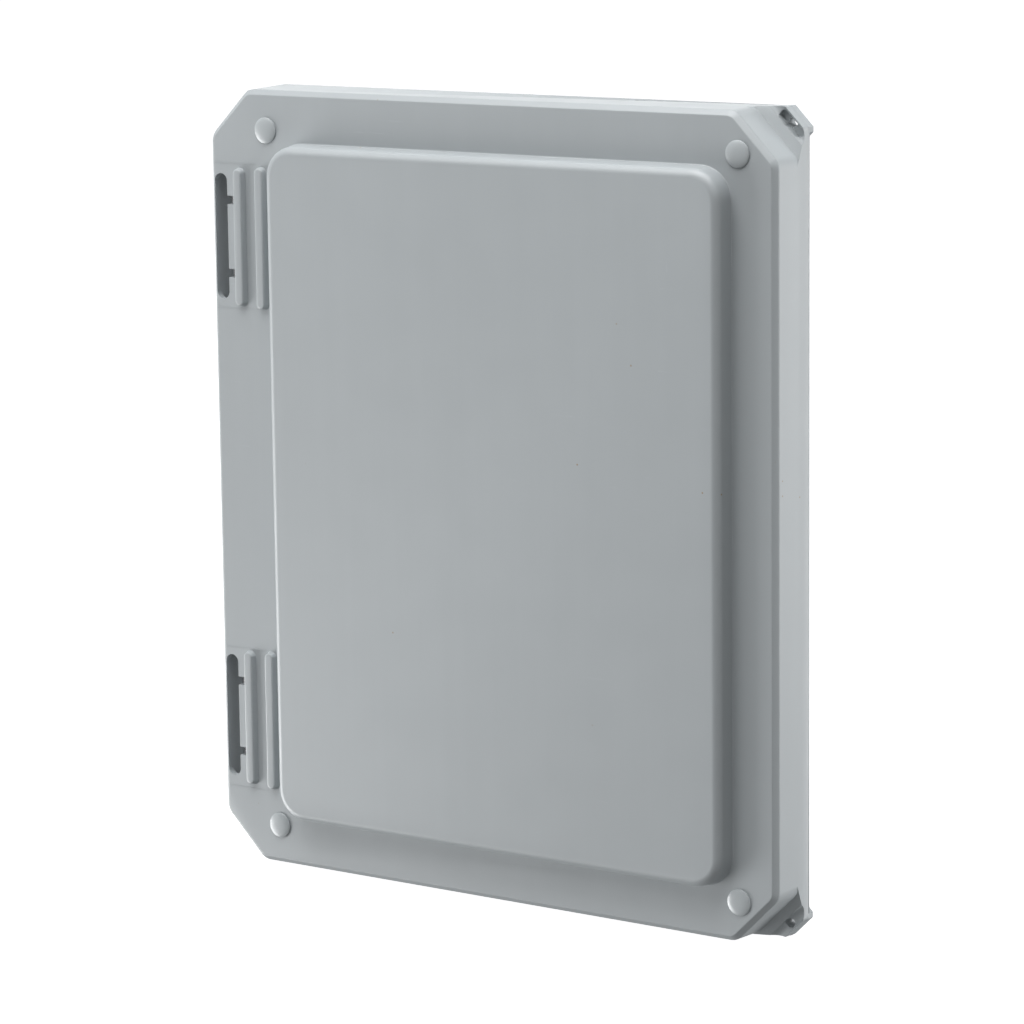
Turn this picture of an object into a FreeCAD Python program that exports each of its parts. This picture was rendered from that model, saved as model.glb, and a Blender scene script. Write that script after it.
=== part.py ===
"""Shallow wall-mounted subpanel enclosure, millimetres.

A moulded back box with four mounting feet carries a steel subpanel.  A hinged cover with a
raised panel closes it, held by four captive screws under snap-in caps.

Frame: +Z up, the cover faces -Y, the back faces of the feet lie on y = 0 (the wall plane), and
the origin is the middle of the cover's outline on that plane.
"""
import FreeCAD
import Part
import math
import os

from FreeCAD import Vector

# ---------------------------------------------------------------- driving dimensions
WIDTH = 278.5            # outside of the cover rim
HEIGHT = 330.0
CORNER_CUT = 19.7        # leg of the 45 degree corner
CORNER_ROUND = 7.0       # rounding where a corner meets the straight sides
RIM_CHAMFER = 2.05       # 45 degree bevel round the cover's front edge
RIM_SOFT = (0.9, 0.5)    # rounding of the bevel's front and rear edges
DEPTH = 26.4             # cover flange front to wall plane
WALL = 3.0
DRAFT = 0.7              # side walls spread this much towards the back
ROOT2 = math.sqrt(2.0)

# cover
PLATE = 3.0
RIM_STEP = 1.5           # rim land that meets the box outside its lip
LIP_GAP = 0.15           # play between the cover's step and the box's lip
RIM_LAND = 2.3
PANEL_X = (-104.6, 119.2)
PANEL_Z = 143.5
PANEL_RISE = 9.06
PANEL_CORNER = 14.0
PANEL_DRAFT = 1.2
PANEL_EDGE_R = 3.6
PANEL_ROOT_R = 0.6
SKIRT_DEPTH = 13.5       # hinge-side skirt, from the flange front
SKIRT = 2.35
SKIRT_END_X = -126.0

# hinge
HINGE_X = -133.2
HINGE_DEPTH = 8.0
HINGE_Z = 103.0          # middle height of a hinge station, above and below centre
EYE_R = 3.0
PIN_R = 1.5
PIN_PLAY = 0.07
SLOT_X = (-136.9, -130.4)
SLOT_HALF = 26.5
NOTCH_X = -127.1
NOTCH_HALF = 1.8
NOTCH_Z = 15.4           # notch centres above and below the slot's middle
KNUCKLE_Z = (27.5, 31.5)  # cover eye, from the station's middle
LUG_Z = (32.0, 36.0)     # box eye
LUG_GAP = 0.5
RIBS = ((-123.4, 29.4), (-112.1, 30.2))  # centre x and half length
RIB_BASE = 2.9
RIB_TOP = 2.0
RIB_RISE = 2.5
INSERT_LINES = (73.0, 134.0)  # faint mould-insert lines above and below each slot
INSERT_LINE_X = (-136.8, -115.5)
INSERT_LINE_HALF = 0.15
INSERT_LINE_RISE = 0.1

# box
BOX_LEFT = -123.7
LIP_DEPTH = 2.45
RIM_DEPTH = 5.0          # sealing rim, from the flange front
RIM_THICK = 3.0
BACK_FRONT = 20.6        # inner face of the back wall
BACK_REAR = 23.6

# right feet; q is measured outwards from the corner wall
FOOT_CUT = 8.0           # leg of a foot's own 45 degree corner
FOOT_SOFT = 1.5
SCOOP_START = (-3.5, 14.0)  # q and depth
SCOOP_RIDGE = (4.3, 18.1)
SCOOP_DIP = (6.5, 19.9)
SCOOP_LIP = (8.7, 19.2)
SCOOP_FAR = 16.0
POCKET_Q = 6.2
POCKET_T = (-6.0, 7.4)
POCKET_HALF_Q = 1.9
POCKET_FLOOR = 22.0
HOLE_Q = 6.1
HOLE_R = 2.0
PAD_HALF = 7.2           # pad against the wall, along and across the corner
PAD_Q = (-2.0, 9.26)

# left feet, in the recess behind the hinge side of the cover
LEFT_FOOT_FRONT = 21.0
LEFT_FOOT_X = (121.0, 138.6)
LEFT_FOOT_Z = (146.0, 162.6)
LEFT_FOOT_Q = 9.3

# cover screws
SCREW_X = (-109.2, 122.0)
SCREW_Z = 148.3
WELL_R = 4.4
WELL_WALL = 1.4
WELL_FLOOR = 11.4
WELL_END = 13.4
SCREW_HOLE_R = 2.2
SCREW_R = 1.95
HEAD_R = 3.6
HEAD_TOP = 3.7
HEAD_THICK = 2.2
SCREW_LENGTH = 7.3
KEEPER_DEPTH = (3.0, 3.6)
KEEPER_R = (2.7, 4.8)
CAP_R = 5.4
CAP_RIM = 0.45
CAP_RISE = 1.35
CAP_PLUG_R = 4.28
CAP_PLUG = 2.4
POST_R = 5.2
POST_TOP = 13.8
INSERT_R = 2.9
INSERT_BORE = 2.08
INSERT_LENGTH = 6.0

# seal
SEAL_INSET = 5.1         # middle of the strip, inwards from the box's outside
SEAL_HALF = 1.5
SEAL_TO_SCREW = 9.0
SEAL_RIM = (-2.2, 2.5)
WEB_INNER = 0.8

# subpanel
MID_X = 6.4              # middle of the box
SUBPANEL_HALF = (118.0, 148.0)
SUBPANEL_CUT = 24.0
SUBPANEL_FRONT = 14.0
SUBPANEL_THICK = 1.5
STAND_X = 100.0
STAND_Z = 126.0
STAND_R = 5.0
STAND_INSERT = 4.2
SUB_HEAD_R = 4.0
SUB_HEAD = 2.2
WASHER_R = 4.6
WASHER = 0.8
BOND_X = 60.0
BOND_Z = -132.0

os.makedirs("parts", exist_ok=True)


# ---------------------------------------------------------------- helpers
def at(depth):
    """Y of a depth measured back from the cover's flange."""
    return depth - DEPTH


def face_xz(points, depth):
    """Polygon face in an XZ plane."""
    corners = [Vector(x, at(depth), z) for x, z in points]
    return Part.Face(Part.makePolygon(corners + corners[:1]))


def prism(points, near, far):
    """Polygon carried from one depth to another."""
    return face_xz(points, near).extrude(Vector(0, far - near, 0))


def cut_rect(x0, x1, z1, cut_left, cut_right):
    """Rectangle, symmetric in Z, with 45 degree corners."""
    upper = [(x1, z1 - cut_right), (x1 - cut_right, z1), (x0 + cut_left, z1), (x0, z1 - cut_left)]
    return upper + [(x, -z) for x, z in reversed(upper)]


def inset(x0, x1, z1, cut_left, cut_right, d):
    """The same outline moved inwards by d."""
    shorter = d * (2.0 - ROOT2)
    return cut_rect(x0 + d, x1 - d, z1 - d, cut_left - shorter, cut_right - shorter)


def loft(points_near, near, points_far, far):
    """Straight-sided solid between two polygons."""
    wires = []
    for points, depth in ((points_near, near), (points_far, far)):
        corners = [Vector(x, at(depth), z) for x, z in points]
        wires.append(Part.makePolygon(corners + corners[:1]))
    return Part.makeLoft(wires, True, True)


def smooth_wire(points, radii, depth):
    """Convex outline in an XZ plane with each corner rounded by its own radius."""
    ends = []
    edges = []
    count = len(points)
    for i, (x, z) in enumerate(points):
        here = Vector(x, at(depth), z)
        back = Vector(points[i - 1][0], at(depth), points[i - 1][1]) - here
        on = Vector(points[(i + 1) % count][0], at(depth), points[(i + 1) % count][1]) - here
        back.normalize()
        on.normalize()
        half_turn = (math.pi - back.getAngle(on)) / 2.0
        reach = radii[i] * math.tan(half_turn)
        first, last = here + back * reach, here + on * reach
        ends.append((first, last))
        if reach > 1e-6:
            bisector = back + on
            bisector.normalize()
            middle = here + bisector * (radii[i] / math.cos(half_turn) - radii[i])
            edges.append(Part.Arc(first, middle, last).toShape())
    for i in range(count):
        edges.append(Part.LineSegment(ends[i - 1][1], ends[i][0]).toShape())
    return Part.Wire(Part.__sortEdges__(edges))


def smooth_prism(points, r, near, far):
    """Outline with every corner rounded alike, carried straight back."""
    wire = smooth_wire(points, [r] * len(points), near)
    return Part.Face(wire).extrude(Vector(0, far - near, 0))


def smooth_loft(points_near, radii_near, near, points_far, radii_far, far):
    """Drafted solid between two rounded outlines."""
    wires = [smooth_wire(points_near, radii_near, near), smooth_wire(points_far, radii_far, far)]
    return Part.makeLoft(wires, True, True)


def rounded_wire(x0, x1, z0, z1, r, depth):
    """Rounded rectangle in an XZ plane."""
    y = at(depth)
    edges = []
    centres = ((x1 - r, z1 - r, 0), (x0 + r, z1 - r, 90), (x0 + r, z0 + r, 180), (x1 - r, z0 + r, 270))
    arcs = []
    for cx, cz, start in centres:
        spots = []
        for turn in (0, 45, 90):
            a = math.radians(start + turn)
            spots.append(Vector(cx + r * math.cos(a), y, cz + r * math.sin(a)))
        arcs.append(spots)
    for i, spots in enumerate(arcs):
        edges.append(Part.Arc(*spots).toShape())
        follower = arcs[(i + 1) % 4][0]
        if spots[2].distanceToPoint(follower) > 1e-6:
            edges.append(Part.LineSegment(spots[2], follower).toShape())
    return Part.Wire(edges)


def rounded_loft(near_box, near_r, near, far_box, far_r, far):
    """Drafted rounded block; boxes are (x0, x1, z0, z1)."""
    wires = [rounded_wire(*near_box, near_r, near), rounded_wire(*far_box, far_r, far)]
    return Part.makeLoft(wires, True, True)


def rounded_prism(box, r, near, far):
    """Rounded rectangle carried straight back."""
    return Part.Face(rounded_wire(*box, r, near)).extrude(Vector(0, far - near, 0))


def rod(x, z, r, near, far):
    """Cylinder along Y between two depths."""
    return Part.makeCylinder(r, far - near, Vector(x, at(near), z), Vector(0, 1, 0))


def tube(x, z, inner, outer, near, far):
    """Ring along Y."""
    return rod(x, z, outer, near, far).cut(rod(x, z, inner, near, far))


def post_z(x, depth, r, z0, z1):
    """Cylinder along Z."""
    return Part.makeCylinder(r, z1 - z0, Vector(x, at(depth), z0), Vector(0, 0, 1))


def block(x0, x1, near, far, z0, z1):
    """Plain box between two depths."""
    return Part.makeBox(x1 - x0, far - near, z1 - z0, Vector(x0, at(near), z0))


def fuse_all(shapes):
    """One solid from overlapping shapes."""
    return shapes[0].multiFuse(shapes[1:]).removeSplitter()


def both_heights(make):
    """The upper hinge station's shapes and their mirror images below."""
    upper = make()
    return upper + [s.mirror(Vector(0, 0, 0), Vector(0, 0, 1)) for s in upper]


def save(name, shape):
    """Write one node."""
    solids = shape.Solids
    whole = solids[0] if len(solids) == 1 else Part.makeCompound(solids)
    whole.exportStep("parts/" + name + ".step")
    print(name, len(solids), "solid(s)", round(whole.Volume), "mm3", "valid" if whole.isValid() else "BAD")


SCREWS = [("top_left", SCREW_X[0], SCREW_Z), ("top_right", SCREW_X[1], SCREW_Z),
          ("bottom_left", SCREW_X[0], -SCREW_Z), ("bottom_right", SCREW_X[1], -SCREW_Z)]
HALF_W = WIDTH / 2.0
HALF_H = HEIGHT / 2.0
COVER_OUTLINE = (-HALF_W, HALF_W, HALF_H, CORNER_CUT, CORNER_CUT)
CORNER_SUM = HALF_W + HALF_H - CORNER_CUT   # |x| + |z| on a corner wall


# ---------------------------------------------------------------- cover
def cover_plate():
    """Bevelled flange plate with its stepped rim."""
    outline = cut_rect(*COVER_OUTLINE)
    bevel = smooth_loft(inset(*COVER_OUTLINE, RIM_CHAMFER), [CORNER_ROUND - RIM_CHAMFER] * 8, 0.0,
                        outline, [CORNER_ROUND] * 8, RIM_CHAMFER)
    land = smooth_prism(outline, CORNER_ROUND, RIM_CHAMFER, RIM_LAND)
    solid = fuse_all([bevel, land])
    for depth, soft in zip((0.0, RIM_CHAMFER), RIM_SOFT):
        edges = [e for e in solid.Edges if abs(e.BoundBox.YMin - at(depth)) < 1e-4
                 and abs(e.BoundBox.YMax - at(depth)) < 1e-4]
        solid = solid.makeFillet(soft, edges)
    inner = smooth_prism(inset(*COVER_OUTLINE, RIM_STEP), CORNER_ROUND - RIM_STEP, RIM_CHAMFER - 0.1, PLATE)
    return fuse_all([solid, inner])


def cover_skirt():
    """Deeper wall down the hinge side and round its two corners."""
    ring = smooth_prism(cut_rect(*COVER_OUTLINE), CORNER_ROUND, RIM_LAND, SKIRT_DEPTH)
    ring = ring.cut(smooth_prism(inset(*COVER_OUTLINE, SKIRT), CORNER_ROUND - SKIRT, RIM_LAND, SKIRT_DEPTH))
    return ring.common(block(-HALF_W, SKIRT_END_X, 0.0, SKIRT_DEPTH, -HALF_H, HALF_H))


def raised_panel():
    """Hollow raised panel with a rounded front edge and a filleted root."""
    x0, x1 = PANEL_X
    z1 = PANEL_Z
    d = PANEL_DRAFT
    body = rounded_loft((x0, x1, -z1, z1), PANEL_CORNER, PLATE / 2.0,
                        (x0 + d, x1 - d, -z1 + d, z1 - d), PANEL_CORNER - d, -PANEL_RISE)
    front = [e for e in body.Edges if abs(e.BoundBox.YMin - at(-PANEL_RISE)) < 1e-4
             and abs(e.BoundBox.YMax - at(-PANEL_RISE)) < 1e-4]
    return body.makeFillet(PANEL_EDGE_R, front)


def panel_hollow():
    """Space inside the raised panel, open to the back."""
    x0, x1 = PANEL_X
    z1 = PANEL_Z
    d = PANEL_DRAFT
    near = (x0 + WALL + d, x1 - WALL - d, -z1 + WALL + d, z1 - WALL - d)
    far = (x0 + WALL, x1 - WALL, -z1 + WALL, z1 - WALL)
    return rounded_loft(near, PANEL_CORNER - WALL - d, WALL - PANEL_RISE, far, PANEL_CORNER - WALL, PLATE)


def ribs():
    """Two moulded ribs beside each hinge slot."""
    made = []
    for x, half in RIBS:
        bottom = (x - RIB_BASE, x + RIB_BASE, HINGE_Z - half, HINGE_Z + half)
        slope = RIB_BASE - RIB_TOP
        top = (x - RIB_TOP, x + RIB_TOP, HINGE_Z - half + slope, HINGE_Z + half - slope)
        rib = rounded_loft(bottom, RIB_BASE - 0.01, 0.2, top, RIB_TOP - 0.01, -RIB_RISE)
        front = [e for e in rib.Edges if e.BoundBox.YMax < at(-RIB_RISE) + 1e-4]
        made.append(rib.makeFillet(0.9, front))
    return made


def insert_lines():
    """Hair-thin raised lines left by the mould's slot inserts."""
    x0, x1 = INSERT_LINE_X
    return [block(x0, x1, -INSERT_LINE_RISE, PLATE / 2.0, z - INSERT_LINE_HALF, z + INSERT_LINE_HALF)
            for z in INSERT_LINES]


def hinge_slots():
    """Openings through the flange over each hinge pin."""
    x0, x1 = SLOT_X
    r = (x1 - x0) / 2.0
    slot = rounded_prism((x0, x1, HINGE_Z - SLOT_HALF, HINGE_Z + SLOT_HALF), r - 0.01, -1.0, PLATE + 1.0)
    made = [slot]
    for side in (-1, 1):
        z = HINGE_Z + side * NOTCH_Z
        made.append(rounded_prism((x1 - 1.0, NOTCH_X, z - NOTCH_HALF, z + NOTCH_HALF), 0.5, -1.0, PLATE + 1.0))
    return made


def knuckles():
    """Eyes under the flange that turn on the pins."""
    made = []
    for side in (-1, 1):
        z0, z1 = sorted(HINGE_Z + side * z for z in KNUCKLE_Z)
        eye = post_z(HINGE_X, HINGE_DEPTH, EYE_R, z0, z1)
        web = block(-HALF_W + SKIRT / 2.0, HINGE_X + EYE_R, PLATE / 2.0, HINGE_DEPTH, z0, z1)
        made.append(eye.fuse(web))
    return made


def knuckle_bores():
    """Running bores through the cover's eyes."""
    r = PIN_R + PIN_PLAY
    return [post_z(HINGE_X, HINGE_DEPTH, r, HINGE_Z - KNUCKLE_Z[1] - 1, HINGE_Z + KNUCKLE_Z[1] + 1)]


def skirt_notches():
    """Gaps that let the box's lugs pass through the skirt as the cover opens."""
    made = []
    for side in (-1, 1):
        z0, z1 = sorted(HINGE_Z + side * z for z in LUG_Z)
        made.append(block(-HALF_W - 1, HINGE_X, HINGE_DEPTH - EYE_R, SKIRT_DEPTH + 1,
                          z0 - LUG_GAP, z1 + LUG_GAP))
    return made


def make_cover():
    """The hinged cover."""
    solid = fuse_all([cover_plate(), cover_skirt(), raised_panel()])
    x0, x1 = PANEL_X
    root = []
    for e in solid.Edges:
        b = e.BoundBox
        flat = abs(b.YMin - at(0)) < 1e-4 and abs(b.YMax - at(0)) < 1e-4
        if flat and b.XMin > x0 - 2 and b.XMax < x1 + 2 and b.ZMax < PANEL_Z + 2 and b.ZMin > -PANEL_Z - 2:
            root.append(e)
    solid = solid.makeFillet(PANEL_ROOT_R, root)
    extra = both_heights(ribs) + both_heights(knuckles) + both_heights(insert_lines)
    extra += [rod(x, z, WELL_R + WELL_WALL, PLATE / 2.0, WELL_END) for _, x, z in SCREWS]
    solid = solid.multiFuse(extra)
    tools = [panel_hollow()] + both_heights(hinge_slots)
    tools += both_heights(knuckle_bores) + both_heights(skirt_notches)
    for _, x, z in SCREWS:
        tools.append(rod(x, z, WELL_R, -1.0, WELL_FLOOR))
        tools.append(rod(x, z, SCREW_HOLE_R, WELL_FLOOR - 1, WELL_END + 1))
        tools.append(rod(x, z, KEEPER_R[1], *KEEPER_DEPTH))
    for tool in tools:
        solid = solid.cut(tool)
    return solid.removeSplitter()


# ---------------------------------------------------------------- back box
SEAL_X0 = BOX_LEFT + SEAL_INSET
SEAL_X1 = HALF_W - SEAL_INSET
SEAL_Z1 = HALF_H - SEAL_INSET
SEAL_DROP = SEAL_TO_SCREW * ROOT2
SEAL_LINE = (SEAL_X0, SEAL_X1, SEAL_Z1,
             SEAL_Z1 - SEAL_X0 + SCREW_X[0] - SCREW_Z + SEAL_DROP,
             SEAL_Z1 + SEAL_X1 - SCREW_X[1] - SCREW_Z + SEAL_DROP)
INNER = (BOX_LEFT + WALL, HALF_W - WALL, HALF_H - WALL)


def foot_point(side_z, q, t, depth):
    """Point by a right corner: q outwards from the corner wall, t along it."""
    x = (CORNER_SUM - (HALF_H - HALF_W)) / 2.0 + (q + t) / ROOT2
    z = (CORNER_SUM + (HALF_H - HALF_W)) / 2.0 + (q - t) / ROOT2
    return Vector(x, at(depth), side_z * z)


def corner_body():
    """Drafted box outline with its plain rounded corners."""
    return smooth_loft(cut_rect(*COVER_OUTLINE), [CORNER_ROUND] * 8, LIP_DEPTH,
                       inset(*COVER_OUTLINE, -DRAFT), [CORNER_ROUND + DRAFT] * 8, BACK_REAR)


def outer_body():
    """Drafted box outline that also holds the right feet."""
    outlines = []
    for grow in (0.0, DRAFT):
        w, h = HALF_W + grow, HALF_H + grow
        upper = [(w, h - FOOT_CUT), (w - FOOT_CUT, h), (BOX_LEFT, h)]
        outlines.append(upper + [(x, -z) for x, z in reversed(upper)])
    radii = [FOOT_SOFT, FOOT_SOFT, 0.0, 0.0, FOOT_SOFT, FOOT_SOFT]
    return smooth_loft(outlines[0], radii, LIP_DEPTH, outlines[1], radii, BACK_REAR)


def scoop(side_z):
    """Tool for the space in front of a right foot: sloping face, ridge, trough and lip."""
    reach = 30.0

    def spot(q_and_depth):
        q, depth = q_and_depth
        return foot_point(side_z, q, -reach, depth)
    ahead = -2.0
    far_lip = (SCOOP_FAR, SCOOP_LIP[1])
    edges = [Part.LineSegment(spot((SCOOP_START[0], ahead)), spot(SCOOP_START)).toShape(),
             Part.LineSegment(spot(SCOOP_START), spot(SCOOP_RIDGE)).toShape(),
             Part.Arc(spot(SCOOP_RIDGE), spot(SCOOP_DIP), spot(SCOOP_LIP)).toShape(),
             Part.LineSegment(spot(SCOOP_LIP), spot(far_lip)).toShape(),
             Part.LineSegment(spot(far_lip), spot((SCOOP_FAR, ahead))).toShape(),
             Part.LineSegment(spot((SCOOP_FAR, ahead)), spot((SCOOP_START[0], ahead))).toShape()]
    face = Part.Face(Part.Wire(edges))
    run = foot_point(side_z, 0.0, reach, 0.0) - foot_point(side_z, 0.0, -reach, 0.0)
    return face.extrude(run)


def across_corner(side_z, t_range, q_range, r, near, far):
    """Rounded block along a right corner, from t to t and between two distances q from its wall."""
    t0, t1 = t_range
    q0, q1 = q_range
    half_q = (q1 - q0) / 2.0
    made = rounded_prism((t0, t1, -half_q, half_q), r, near, far)
    made.rotate(Vector(0, 0, 0), Vector(0, 1, 0), 45.0 * side_z)
    spot = foot_point(side_z, (q0 + q1) / 2.0, 0.0, 0.0)
    made.translate(Vector(spot.x, 0, spot.z))
    return made


def right_pad(side_z):
    """Pad behind a right foot that reaches back to the wall plane."""
    pad = across_corner(side_z, (-PAD_HALF, PAD_HALF), PAD_Q, FOOT_SOFT, BACK_REAR - 1.0, DEPTH)
    w, h = HALF_W + DRAFT, HALF_H + DRAFT
    return pad.common(block(0.0, w, 0.0, DEPTH, -h, h))


def right_foot_cuts(side_z):
    """Mounting hole of a right foot, and the slotted pocket that only the upper one has."""
    spot = foot_point(side_z, HOLE_Q, 0.0, 0.0)
    hole = rod(spot.x, spot.z, HOLE_R, 15.0, DEPTH + 1)
    if side_z < 0:
        return hole
    q_range = (POCKET_Q - POCKET_HALF_Q, POCKET_Q + POCKET_HALF_Q)
    return hole.fuse(across_corner(side_z, POCKET_T, q_range, POCKET_HALF_Q - 0.01, 15.0, POCKET_FLOOR))


def left_foot():
    """Plain upper foot behind the hinge side of the cover, with its hole."""
    near_x, far_x = LEFT_FOOT_X
    low_z, high_z = LEFT_FOOT_Z
    total = CORNER_SUM + LEFT_FOOT_Q * ROOT2
    outline = [(far_x, low_z), (far_x, total - far_x), (total - high_z, high_z), (near_x, high_z), (near_x, low_z)]
    foot = prism([(-x, z) for x, z in outline], LEFT_FOOT_FRONT, DEPTH)
    hole = foot_point(1, HOLE_Q, 0.0, 0.0)
    return [foot.cut(rod(-hole.x, hole.z, HOLE_R, LEFT_FOOT_FRONT - 1.0, DEPTH + 1))]


def lugs():
    """Hinge eyes on arms from the box's hinge-side wall."""
    made = []
    for side in (-1, 1):
        z0, z1 = sorted(HINGE_Z + side * z for z in LUG_Z)
        eye = post_z(HINGE_X, HINGE_DEPTH, EYE_R, z0, z1)
        arm = block(HINGE_X, BOX_LEFT + 1.0, HINGE_DEPTH - 2.6, HINGE_DEPTH + 2.0, z0, z1)
        made.append(eye.fuse(arm))
    return made


def lug_bores():
    """Tight bores for the pins."""
    return [post_z(HINGE_X, HINGE_DEPTH, PIN_R, HINGE_Z - LUG_Z[1] - 1, HINGE_Z + LUG_Z[1] + 1)]


def make_box():
    """Moulded back box with feet, screw posts, subpanel stands and hinge lugs."""
    corners = corner_body()
    beyond = block(BOX_LEFT - 10.0, 0.0, 0.0, DEPTH, -HALF_H - 10.0, HALF_H + 10.0).cut(corners)
    solid = outer_body().cut(beyond)
    for side_z in (-1, 1):
        solid = solid.cut(scoop(side_z).cut(corners))
    solid = solid.multiFuse([right_pad(side_z) for side_z in (-1, 1)])
    x0, x1, z1 = INNER
    cut_left = z1 - x0 - (SEAL_Z1 - SEAL_X0 - SEAL_LINE[3]) + WEB_INNER * ROOT2
    cut_right = z1 + x1 - (SEAL_Z1 + SEAL_X1 - SEAL_LINE[4]) + WEB_INNER * ROOT2
    lip = RIM_STEP - LIP_GAP
    inner_cut = CORNER_CUT - WALL * (2.0 - ROOT2)
    left_cut = max(0.1, z1 - x0 - (CORNER_SUM - WALL * ROOT2))
    tools = [smooth_prism(inset(*COVER_OUTLINE, lip), CORNER_ROUND - lip, 0.0, PLATE + LIP_GAP),
             prism(cut_rect(x0, x1, z1, left_cut, inner_cut), 0.0, RIM_DEPTH),
             prism(inset(*SEAL_LINE, SEAL_RIM[1]), 0.0, RIM_DEPTH + RIM_THICK),
             prism(cut_rect(x0, x1, z1, cut_left, cut_right), RIM_DEPTH + RIM_THICK, BACK_FRONT)]
    pockets = prism(cut_rect(x0, x1, z1, left_cut, inner_cut), 0.0, BACK_FRONT)
    tools.append(pockets.cut(prism(inset(*SEAL_LINE, SEAL_RIM[0]), 0.0, BACK_FRONT)))
    for tool in tools:
        solid = solid.cut(tool)
    added = [rod(x, z, POST_R, POST_TOP, BACK_FRONT + 1) for _, x, z in SCREWS]
    added += [rod(x, z, STAND_R, SUBPANEL_FRONT + SUBPANEL_THICK, BACK_FRONT + 1) for x, z in stands()]
    added += both_heights(lugs) + both_heights(left_foot)
    solid = solid.multiFuse(added)
    for side_z in (-1, 1):
        solid = solid.cut(right_foot_cuts(side_z))
    for _, x, z in SCREWS:
        solid = solid.cut(rod(x, z, INSERT_R, POST_TOP - 1, POST_TOP + INSERT_LENGTH))
    for x, z in stands():
        top = SUBPANEL_FRONT + SUBPANEL_THICK
        solid = solid.cut(rod(x, z, INSERT_R, top - 1, top + STAND_INSERT))
    for tool in both_heights(lug_bores):
        solid = solid.cut(tool)
    return solid.removeSplitter()


def stands():
    """Subpanel fixing points."""
    return [(MID_X + sx * STAND_X, sz * STAND_Z) for sx in (-1, 1) for sz in (-1, 1)]


# ---------------------------------------------------------------- small parts
def make_gasket():
    """Seal strip between the cover and the box's rim."""
    outer = prism(inset(*SEAL_LINE, -SEAL_HALF), PLATE, RIM_DEPTH)
    return outer.cut(prism(inset(*SEAL_LINE, SEAL_HALF), PLATE, RIM_DEPTH))


def make_subpanel():
    """Flat mounting plate with its fixing holes."""
    w, h = SUBPANEL_HALF
    plate = prism(cut_rect(MID_X - w, MID_X + w, h, SUBPANEL_CUT, SUBPANEL_CUT),
                  SUBPANEL_FRONT, SUBPANEL_FRONT + SUBPANEL_THICK)
    for x, z in stands() + [(MID_X + BOND_X, BOND_Z)]:
        plate = plate.cut(rod(x, z, 2.3, SUBPANEL_FRONT - 1, SUBPANEL_FRONT + SUBPANEL_THICK + 1))
    return plate


def cross_recess(x, z, top, size, deep):
    """Cross-shaped driver recess in a screw head."""
    arm = 0.5
    one = block(x - size, x + size, top - 0.5, top + deep, z - arm, z + arm)
    two = block(x - arm, x + arm, top - 0.5, top + deep, z - size, z + size)
    return one.fuse(two)


def pan_screw(x, z, head_r, head_top, head_thick, shank_r, length, soft):
    """Pan-head screw: head, shank and a pointed lead."""
    head = rod(x, z, head_r, head_top, head_top + head_thick)
    front = [e for e in head.Edges if e.BoundBox.YMax < at(head_top) + 1e-4]
    head = head.makeFillet(soft, front)
    under = head_top + head_thick
    shank = rod(x, z, shank_r, under, under + length)
    tip = [e for e in shank.Edges if e.BoundBox.YMin > at(under + length) - 1e-4]
    shank = shank.makeChamfer(0.6, tip)
    return head.fuse(shank).removeSplitter().cut(cross_recess(x, z, head_top, head_r * 0.55, 1.2))


def make_cap(x, z):
    """Domed snap-in cap with a hollow plug."""
    rise = CAP_RISE - CAP_RIM
    ball_r = (CAP_R ** 2 + rise ** 2) / (2.0 * rise)
    ball = Part.makeSphere(ball_r, Vector(x, at(-CAP_RISE) + ball_r, z))
    dome = ball.common(rod(x, z, CAP_R, -CAP_RISE - 1, -CAP_RIM))
    rim = rod(x, z, CAP_R, -CAP_RIM, 0.0)
    plug = tube(x, z, CAP_PLUG_R - 1.0, CAP_PLUG_R, -0.1, CAP_PLUG)
    return fuse_all([dome, rim, plug])


def make_pin(sign):
    """Headed hinge pin, fitted from above, with a clip groove at its lower end."""
    low = sign * HINGE_Z - LUG_Z[1] - 2.0
    high = sign * HINGE_Z + LUG_Z[1]
    pin = post_z(HINGE_X, HINGE_DEPTH, PIN_R, low, high)
    head = post_z(HINGE_X, HINGE_DEPTH, 2.4, high, high + 1.0)
    groove = post_z(HINGE_X, HINGE_DEPTH, PIN_R + 1, low + 1.2, low + 2.0)
    groove = groove.cut(post_z(HINGE_X, HINGE_DEPTH, PIN_R - 0.4, low + 1.2, low + 2.0))
    return pin.fuse(head).removeSplitter().cut(groove)


def make_clip(sign):
    """Spring clip snapped into the pin's groove."""
    low = sign * HINGE_Z - LUG_Z[1] - 0.8
    ring = post_z(HINGE_X, HINGE_DEPTH, 2.8, low, low + 0.7)
    ring = ring.cut(post_z(HINGE_X, HINGE_DEPTH, PIN_R - 0.4, low, low + 0.7))
    mouth = Part.makeBox(1.6, 4.0, 0.7, Vector(HINGE_X - 0.8, at(HINGE_DEPTH), low))
    return ring.cut(mouth)


save("cover", make_cover())
save("back_box", make_box())
save("gasket", make_gasket())
save("subpanel", make_subpanel())

plate_back = SUBPANEL_FRONT + SUBPANEL_THICK
stand_inserts = [tube(x, z, INSERT_BORE, INSERT_R, plate_back, plate_back + STAND_INSERT) for x, z in stands()]
save("subpanel_inserts", Part.makeCompound(stand_inserts))
washer_front = SUBPANEL_FRONT - WASHER
save("subpanel_washers", Part.makeCompound(
    [tube(x, z, 2.1, WASHER_R, washer_front, SUBPANEL_FRONT) for x, z in stands()]))
save("subpanel_screws", Part.makeCompound(
    [pan_screw(x, z, SUB_HEAD_R, washer_front - SUB_HEAD, SUB_HEAD, SCREW_R, 5.8, 1.2) for x, z in stands()]))
bond = (MID_X + BOND_X, BOND_Z)
save("bonding_washer", tube(*bond, 2.1, WASHER_R, washer_front, SUBPANEL_FRONT))
save("bonding_screw", pan_screw(*bond, SUB_HEAD_R, washer_front - SUB_HEAD, SUB_HEAD, SCREW_R, 5.0, 1.2))
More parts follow.
